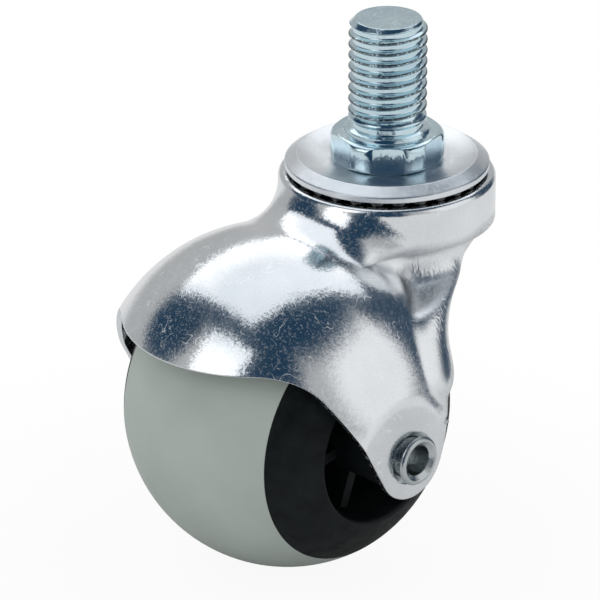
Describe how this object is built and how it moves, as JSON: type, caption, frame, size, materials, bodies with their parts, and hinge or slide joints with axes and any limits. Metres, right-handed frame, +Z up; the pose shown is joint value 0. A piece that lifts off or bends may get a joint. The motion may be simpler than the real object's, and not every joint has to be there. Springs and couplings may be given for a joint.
{
  "type": "ball castor",
  "caption": "Hooded ball castor: a rubber-banded ball wheel on a rivet axle in a drawn steel hood, swivelling on ball tracks under a threaded stem with a hexagon collar.",
  "frame": {"origin": "centre of the hexagon collar's top face, on the swivel axis", "axes": "+Z up the stem, wheel trails towards -X, axle along Y"},
  "size_m": [0.064, 0.0565, 0.0821],
  "materials": {
    "blue_zinc": "bright blue zinc plate on a forged and rolled stem",
    "race_zinc": "bright zinc plate on pressed sheet",
    "hood_zinc": "bright zinc plate on drawn sheet, with orange-peel grain and fine scratches",
    "rivet_steel": "plated rivet, slightly dull",
    "ball_steel": "polished bearing steel under grease",
    "hub_plastic": "matt black moulded plastic, slightly mottled",
    "tread_rubber": "satin warm grey rubber"
  },
  "bodies": {
    "stem_body": {"stem": "blue_zinc", "upper_race": "race_zinc", "lower_race": "race_zinc"},
    "hood_body": {"hood": "hood_zinc", "axle_rivet": "rivet_steel"},
    "wheel_body": {"wheel_core": "hub_plastic", "tread": "tread_rubber"},
    "upper_balls": {"upper_ball_01": "ball_steel", "upper_ball_02": "ball_steel", "upper_ball_03": "ball_steel", "upper_ball_04": "ball_steel", "upper_ball_05": "ball_steel", "upper_ball_06": "ball_steel", "upper_ball_07": "ball_steel", "upper_ball_08": "ball_steel", "upper_ball_09": "ball_steel", "upper_ball_10": "ball_steel", "upper_ball_11": "ball_steel", "upper_ball_12": "ball_steel", "upper_ball_13": "ball_steel", "upper_ball_14": "ball_steel", "upper_ball_15": "ball_steel", "upper_ball_16": "ball_steel", "upper_ball_17": "ball_steel", "upper_ball_18": "ball_steel", "upper_ball_19": "ball_steel", "upper_ball_20": "ball_steel", "upper_ball_21": "ball_steel", "upper_ball_22": "ball_steel", "upper_ball_23": "ball_steel", "upper_ball_24": "ball_steel", "upper_ball_25": "ball_steel", "upper_ball_26": "ball_steel", "upper_ball_27": "ball_steel", "upper_ball_28": "ball_steel"},
    "lower_balls": {"lower_ball_01": "ball_steel", "lower_ball_02": "ball_steel", "lower_ball_03": "ball_steel", "lower_ball_04": "ball_steel", "lower_ball_05": "ball_steel", "lower_ball_06": "ball_steel", "lower_ball_07": "ball_steel", "lower_ball_08": "ball_steel", "lower_ball_09": "ball_steel", "lower_ball_10": "ball_steel", "lower_ball_11": "ball_steel", "lower_ball_12": "ball_steel", "lower_ball_13": "ball_steel", "lower_ball_14": "ball_steel", "lower_ball_15": "ball_steel", "lower_ball_16": "ball_steel", "lower_ball_17": "ball_steel", "lower_ball_18": "ball_steel"}
  },
  "joints": [
    {"name": "swivel", "type": "hinge", "parent": "stem_body", "child": "hood_body", "pos_m": [0, 0, -0.0075], "axis": [0, 0, 1], "continuous": true},
    {"name": "wheel_spin", "type": "hinge", "parent": "hood_body", "child": "wheel_body", "pos_m": [-0.0214, 0, -0.0391], "axis": [0, 1, 0], "continuous": true},
    {"name": "upper_ball_orbit", "type": "hinge", "parent": "stem_body", "child": "upper_balls", "pos_m": [0, 0, -0.0062], "axis": [0, 0, 1], "continuous": true},
    {"name": "lower_ball_orbit", "type": "hinge", "parent": "stem_body", "child": "lower_balls", "pos_m": [0, 0, -0.0089], "axis": [0, 0, 1], "continuous": true}
  ],
  "couplings": [
    {"joint": "upper_ball_orbit", "follows": "swivel", "ratio": 0.5},
    {"joint": "lower_ball_orbit", "follows": "swivel", "ratio": 0.5}
  ]
}
